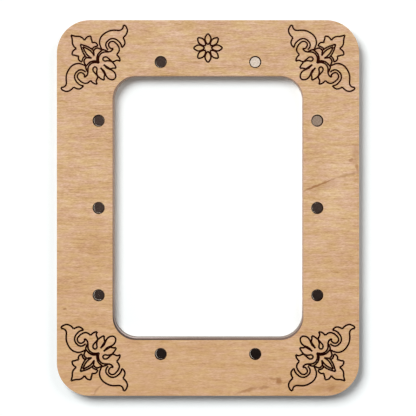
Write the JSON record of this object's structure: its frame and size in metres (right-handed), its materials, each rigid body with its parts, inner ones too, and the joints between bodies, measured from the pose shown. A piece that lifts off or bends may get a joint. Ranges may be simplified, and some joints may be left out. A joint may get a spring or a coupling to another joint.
{
  "type": "magnetic embroidery frame",
  "caption": "Flat rectangular embroidery frame: two plywood rings that clamp fabric between them with disc magnets, the front ring engraved at its corners.",
  "frame": {"origin": "on the surface the frame lies on, at its back face, under the middle of the window", "axes": "+X to the right and +Y to the top edge of the front face, +Z out of the front face; the frame lies flat"},
  "size_m": [0.206, 0.256, 0.008],
  "materials": {
    "front_plywood": "fine-sanded, unvarnished",
    "back_plywood": "fine-sanded, unvarnished",
    "magnet_nickel": "bright nickel plating"
  },
  "bodies": {
    "back": {"back_frame": "back_plywood", "back_magnet_left_upper": "magnet_nickel", "back_magnet_left_middle": "magnet_nickel", "back_magnet_left_lower": "magnet_nickel", "back_magnet_top_left": "magnet_nickel", "back_magnet_bottom_left": "magnet_nickel", "back_magnet_right_upper": "magnet_nickel", "back_magnet_right_middle": "magnet_nickel", "back_magnet_right_lower": "magnet_nickel", "back_magnet_top_right": "magnet_nickel", "back_magnet_bottom_right": "magnet_nickel"},
    "front": {"front_frame": "front_plywood", "front_magnet_left_upper": "magnet_nickel", "front_magnet_left_middle": "magnet_nickel", "front_magnet_left_lower": "magnet_nickel", "front_magnet_top_left": "magnet_nickel", "front_magnet_bottom_left": "magnet_nickel", "front_magnet_right_upper": "magnet_nickel", "front_magnet_right_middle": "magnet_nickel", "front_magnet_right_lower": "magnet_nickel", "front_magnet_top_right": "magnet_nickel", "front_magnet_bottom_right": "magnet_nickel"}
  },
  "joints": [
    {"name": "front_frame_lift", "type": "slide", "parent": "back", "child": "front", "axis": [0, 0, 1], "range_m": [0, 0.04]}
  ]
}
